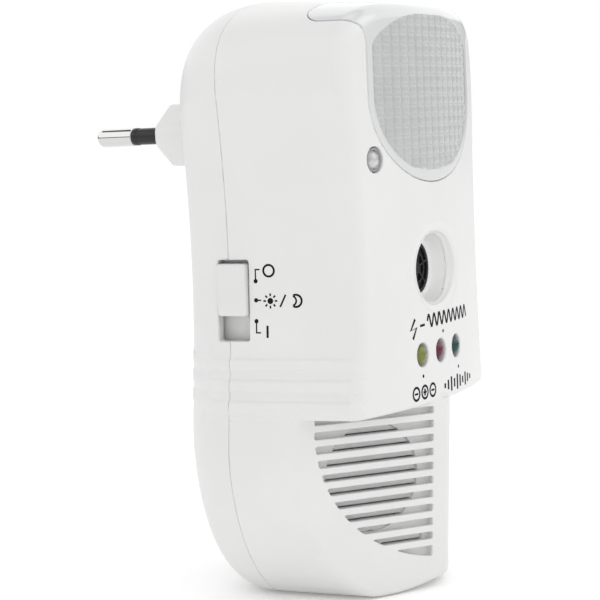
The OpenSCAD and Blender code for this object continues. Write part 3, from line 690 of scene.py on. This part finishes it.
# light sensor: a small glass bead in a dark ring, square to the bowed face
bow = math.asin(SENSOR[0] / BOW_R)
normal = (math.sin(bow), -math.cos(bow), 0)
spot = tuple(front_point(*SENSOR))
lathe("sensor_ring_seat",
      [(-3.4, 1.95), (-3.4, 2.45), (-0.5, 2.45), (-0.32, 2.3), (-0.35, 2.0), (-0.6, 1.9), (-3.4, 1.95)],
      spot, normal, slot="sensor_clear", material=EYE_RING)
bead_dome = [(-1.9 + 2.1 * math.cos(a), 2.1 * math.sin(a)) for a in np.radians([58, 50, 42, 34, 26, 18, 10, 4])]
lathe("sensor_bead", [(-3.2, 0), (-3.2, 1.85), (-0.75, 1.95), (-0.45, 1.9)] + bead_dome + [(0.2, 0)],
      spot, normal, slot="sensor_clear", material=EYE, replaces=("sensor_window",))

# indicator lamps: a flanged epoxy dome on two legs
LAMPS = ((-1, "green", (0.17, 0.185, 0.045)),
         (0, "red", (0.115, 0.010, 0.038)),
         (1, "teal", (0.008, 0.052, 0.050)))
lamp_dome = [(-5.3 - 2.2 * math.sin(a), 2.2 * math.cos(a)) for a in np.radians([0, 12, 24, 36, 48, 60, 72, 82])]
LAMP_PROFILE = [(0.5, 0), (0.5, 1.1), (0, 2.4), (-0.1, 2.5), (-1.0, 2.5), (-1.1, 2.2)] + lamp_dome + [(-7.5, 0)]
LEG_PROFILE = [(0, 0.2), (0.1, 0.3), (5.2, 0.3), (5.3, 0.2)]
for k, word, colour in LAMPS:
    epoxy = material("lamp_epoxy_" + word, colour, 0.12, spec=0.35, vary=0.12, vary_scale=700, bump=0.0)
    lathe("lamp_dome_" + word, LAMP_PROFILE, (k * LAMP_PITCH, LAMP_BASE_Y, LAMP_Z), (0, 1, 0),
          slot="lamp_" + word, material=epoxy, replaces=("lamp_" + word,))
    for leg, x in (("a", -1.27), ("b", 1.27)):
        root = (k * LAMP_PITCH + x, LAMP_BASE_Y + 0.1, LAMP_Z)
        lathe("lamp_leg_%s_%s" % (word, leg), LEG_PROFILE, root, (0, 1, 0),
              steps=12, slot="lamp_" + word, material=CHROME)


# ---------------------------------------------------------------- printed marks
def side_point(y, z, out=0.0):
    """Point on the left wall at that depth and height, moved out along the normal."""
    lo, hi = -36.0, -20.0
    for _ in range(24):
        mid = (lo + hi) / 2
        outside = loft(np.float64(mid), np.float64(y), np.float64(z)) > 0
        lo, hi = (mid, hi) if outside else (lo, mid)
    return np.array([lo - out, y, z])


def ink(name, strokes, place):
    """Thin closed ribbons laid on a surface: strokes are (points, width) in the surface's two coordinates."""
    bm = bmesh.new()
    for points, width in strokes:
        n = len(points)
        loop = n > 2 and points[0] == points[-1]
        rows = []
        for i in range(n - 1 if loop else n):
            a = np.array(points[(i - 1) % (n - 1)] if loop else points[max(i - 1, 0)], float)
            b = np.array(points[(i + 1) % (n - 1)] if loop else points[min(i + 1, n - 1)], float)
            t = (b - a) / max(np.linalg.norm(b - a), 1e-9)
            side = np.array([-t[1], t[0]]) * width / 2
            c = np.array(points[i], float)
            row = []
            for q, out in ((c + side, -0.05), (c + side, 0.025), (c - side, 0.025), (c - side, -0.05)):
                row.append(bm.verts.new(Vector(place(q[0], q[1], out)) * MM))
            rows.append(row)
        pairs = list(zip(rows, rows[1:] + rows[:1])) if loop else list(zip(rows, rows[1:]))
        for r0, r1 in pairs:
            for k in range(4):
                bm.faces.new((r0[k], r0[(k + 1) % 4], r1[(k + 1) % 4], r1[k]))
        if not loop:
            bm.faces.new(rows[0][::-1])
            bm.faces.new(rows[-1])
    bmesh.ops.recalc_face_normals(bm, faces=bm.faces)
    mesh = bpy.data.meshes.new(name)
    bm.to_mesh(mesh)
    bm.free()
    return add_object(name, mesh, slot="component_black", material=INK)


def ring(cx, cz, r, width, a0=0, a1=360, n=24):
    """Stroke along a circle, from angle a0 to a1 in degrees."""
    angles = [math.radians(a0 + (a1 - a0) * k / n) for k in range(n + 1)]
    return ([(round(cx + r * math.cos(a), 5), round(cz + r * math.sin(a), 5)) for a in angles], width)


def dot(cx, cz, r):
    return ring(cx, cz, r / 2, r)


def line(*points, width):
    return (list(points), width)


# beside the switch: a ring, a sun and moon, and a bar, each with a dot and tick to its position
MARK_Y, TICK = -30.5, 0.27
SUN_Y, SUN_Z = MARK_Y - 3.1, -33.4
side_strokes = [dot(MARK_Y, z, 0.44) for z in (-29.45, -33.25, -37.4)]
side_strokes += [
    line((MARK_Y, -29.3), (MARK_Y, -27.1), width=TICK),
    line((MARK_Y + 0.13, -27.15), (MARK_Y - 0.95, -27.15), width=TICK),
    line((MARK_Y - 0.2, -33.25), (MARK_Y - 1.1, -33.25), width=TICK),
    line((MARK_Y, -37.5), (MARK_Y, -39.75), width=TICK),
    line((MARK_Y + 0.13, -39.7), (MARK_Y - 0.95, -39.7), width=TICK),
    ring(MARK_Y - 2.9, -27.4, 1.15, 0.42),
    line((MARK_Y - 2.4, -38.3), (MARK_Y - 2.4, -40.7), width=0.46),
    dot(SUN_Y, SUN_Z, 0.62),
    line((MARK_Y - 5.2, -34.6), (MARK_Y - 6.4, -32.2), width=0.36),
    ring(MARK_Y - 8.6, SUN_Z, 1.2, 0.42, 60, 300),
    ring(MARK_Y - 7.7, SUN_Z, 0.95, 0.36, 105, 255),
]
for a in np.radians(range(0, 360, 45)).tolist():
    ray = [(SUN_Y + r * math.cos(a), SUN_Z + r * math.sin(a)) for r in (0.95, 1.5)]
    side_strokes.append(line(*ray, width=0.34))
ink("switch_marks", side_strokes, side_point)

# on the front: a dot for each lamp, a flash with a wave, three ions and a bar spectrum
ION_Z, BAR_PITCH = -54.2, 1.75
front_strokes = [dot(1.1, -42.7, 0.36), dot(-8.8, -50.9, 0.36), dot(9.2, -51.1, 0.36)]
wave = [(-6.2 + 0.25 * k, -39.9 + 1.25 * math.sin(2 * math.pi * k / 10.0)) for k in range(0, 88)]
front_strokes += [
    (wave, 0.62),
    line((-11.4, -39.0), (-13.2, -41.2), (-10.9, -40.8), (-12.4, -43.0), width=0.7),
    line((-9.4, -40.6), (-7.4, -40.5), width=0.5),
]
for x in (-11.9, -8.4, -4.9):
    front_strokes += [ring(x, ION_Z, 1.3, 0.5), line((x - 0.7, ION_Z), (x + 0.7, ION_Z), width=0.42)]
front_strokes.append(line((-8.4, ION_Z + 0.7), (-8.4, ION_Z - 0.7), width=0.6))
for k, tall in enumerate((0.5, 1.0, 1.5, 0.9, 1.6, 1.2, 0.7, 1.4, 0.9, 0.5)):
    x = 1.2 + BAR_PITCH * k
    front_strokes.append(line((x, ION_Z - tall), (x, ION_Z + tall), width=0.8))
ink("front_marks", front_strokes, front_point)

# ---------------------------------------------------------------- finishes for the CAD pieces
FINISH = {
    "case_white": dict(colour=(0.82, 0.82, 0.81), rough=0.3),
    "brass_strap": dict(colour=(0.72, 0.53, 0.22), rough=0.28, metallic=1.0, vary=0.08),
    "screw_steel": dict(colour=(0.55, 0.55, 0.54), rough=0.3, metallic=1.0, vary=0.1, bump=0.15),
    "lamp_clear": dict(colour=(0.85, 0.85, 0.75), rough=0.12),
    "sensor_cell": dict(colour=(0.55, 0.25, 0.12), rough=0.35, vary=0.15, vary_scale=900),
    "board_green": dict(colour=(0.03, 0.19, 0.09), rough=0.35, vary=0.2, vary_scale=300, bump=0.1),
    "capacitor_yellow": dict(colour=(0.62, 0.42, 0.04), rough=0.35, vary=0.06),
    "capacitor_sleeve": dict(colour=(0.03, 0.05, 0.16), rough=0.25, vary=0.1),
    "component_black": dict(colour=(0.02, 0.02, 0.02), rough=0.4, vary=0.2),
    "copper_wire": dict(colour=(0.45, 0.17, 0.06), rough=0.3, metallic=0.9, vary=0.2, vary_scale=1500, bump=0.4,
                        bump_scale=2500),
    "needle_steel": dict(colour=(0.6, 0.6, 0.6), rough=0.2, metallic=1.0),
    "speaker_frame": dict(colour=(0.05, 0.05, 0.05), rough=0.45, vary=0.15, bump=0.1),
    "speaker_cone": dict(colour=(0.5, 0.5, 0.48), rough=0.7, vary=0.08, bump=0.3, bump_scale=1500),
    "magnet": dict(colour=(0.42, 0.42, 0.42), rough=0.35, metallic=1.0, vary=0.1),
    "wire_red": dict(colour=(0.45, 0.03, 0.03), rough=0.35, vary=0.08),
    "wire_grey": dict(colour=(0.5, 0.5, 0.5), rough=0.35, vary=0.06),
    "switch_metal": dict(colour=(0.6, 0.6, 0.6), rough=0.28, metallic=1.0, vary=0.08, bump=0.1),
}
SLOT_OF = {s["node"]: s["material_slot"] for s in frame["record"]["subparts"]}
made = {}
for node, obj in NODES.items():
    if not obj.hide_render:
        slot = SLOT_OF[node]
        if slot not in made:
            made[slot] = material("cad_" + slot, **FINISH[slot])
        obj.data.materials.clear()
        obj.data.materials.append(made[slot])

# ---------------------------------------------------------------- camera, light and floor
def aim_camera():
    """Long lens towards the left front, a little above the case, rolled slightly."""
    az, el, roll, dist = math.radians(-62), math.radians(5.0), math.radians(-2.5), 424.3
    back = Vector((math.sin(az) * math.cos(el), -math.cos(az) * math.cos(el), math.sin(el)))
    f = -back
    r = f.cross(Vector((0, 0, 1))).normalized()
    u = r.cross(f)
    r2 = math.cos(roll) * r + math.sin(roll) * u
    u2 = -math.sin(roll) * r + math.cos(roll) * u
    target = Vector((0, -25, 0)) + 0.4 * r2 - 36.1 * u2
    cam = bpy.data.objects.new("camera", bpy.data.cameras.new("camera"))
    cam.data.lens, cam.data.sensor_width = 120, 36
    cam.data.clip_start, cam.data.clip_end = 0.01, 20
    place = (target + back * dist) * MM
    rows = [(r2[i], u2[i], back[i], place[i]) for i in range(3)]
    cam.matrix_world = Matrix(rows + [(0, 0, 0, 1)])
    bpy.context.scene.collection.objects.link(cam)
    bpy.context.scene.camera = cam


def area_light(name, place, target, size, power):
    """Round softbox; places and size in metres, power in watts."""
    light = bpy.data.lights.new(name, "AREA")
    light.shape, light.size, light.energy = "DISK", size, power
    obj = bpy.data.objects.new(name, light)
    obj.location = place
    obj.rotation_euler = (Vector(target) - Vector(place)).to_track_quat("-Z", "Y").to_euler()
    bpy.context.scene.collection.objects.link(obj)


aim_camera()
scene = bpy.context.scene
scene.view_settings.view_transform = "Standard"
world = bpy.data.worlds.new("studio")
scene.world = world
world.use_nodes = True
world_nodes = world.node_tree.nodes
world_nodes["Background"].inputs["Strength"].default_value = 1.0
# glossy reflections see dark studio edges at the horizon and overhead; all other rays see plain white.
# Each stop is (height of the direction, 0 straight down to 1 straight up; grey).
REFLECTED = ((0.0, 0.90), (0.47, 0.90), (0.49, 0.25), (0.56, 0.25), (0.575, 1.35), (0.90, 1.35),
             (0.915, 0.05), (0.935, 0.05), (0.95, 0.75), (1.0, 0.85))
coord = world_nodes.new("ShaderNodeTexCoord")
height = world_nodes.new("ShaderNodeSeparateXYZ")
span = world_nodes.new("ShaderNodeMapRange")
span.inputs["From Min"].default_value = -1.0
ramp = world_nodes.new("ShaderNodeValToRGB")
for k, (at, grey) in enumerate(REFLECTED):
    stop = ramp.color_ramp.elements[k] if k < 2 else ramp.color_ramp.elements.new(at)
    stop.position = at
    stop.color = (grey, grey, grey, 1)
path = world_nodes.new("ShaderNodeLightPath")
mix = world_nodes.new("ShaderNodeMix")
mix.data_type = "RGBA"
MIX_FACTOR, MIX_A, MIX_B, MIX_RESULT = 0, 6, 7, 2  # colour sockets of the Mix node
mix.inputs[MIX_A].default_value = (1, 1, 1, 1)
for value, socket in ((coord.outputs["Generated"], height.inputs[0]),
                      (height.outputs["Z"], span.inputs["Value"]),
                      (span.outputs["Result"], ramp.inputs["Fac"]),
                      (path.outputs["Is Glossy Ray"], mix.inputs[MIX_FACTOR]),
                      (ramp.outputs["Color"], mix.inputs[MIX_B]),
                      (mix.outputs[MIX_RESULT], world_nodes["Background"].inputs["Color"])):
    world.node_tree.links.new(value, socket)
area_light("key", (0.35, -0.75, 0.55), (0, -0.03, -0.03), 0.5, 0.8)
area_light("overhead", (0, -0.05, 0.9), (0, -0.03, 0), 0.6, 0.4)

floor_mesh = bpy.data.meshes.new("floor")
bm = bmesh.new()
bmesh.ops.create_grid(bm, x_segments=1, y_segments=1, size=6)
bm.to_mesh(floor_mesh)
bm.free()
floor = bpy.data.objects.new("floor", floor_mesh)
floor.location = (0, 0, (BOTTOM_Z - 0.3) * MM)
scene.collection.objects.link(floor)
floor_mesh.materials.append(material("floor_paper", (0.97, 0.97, 0.97), 0.9, spec=0.0, vary=0.0, bump=0.0,
                                     rough_vary=0.0, Emission_Color=(1, 1, 1, 1), Emission_Strength=0.1))
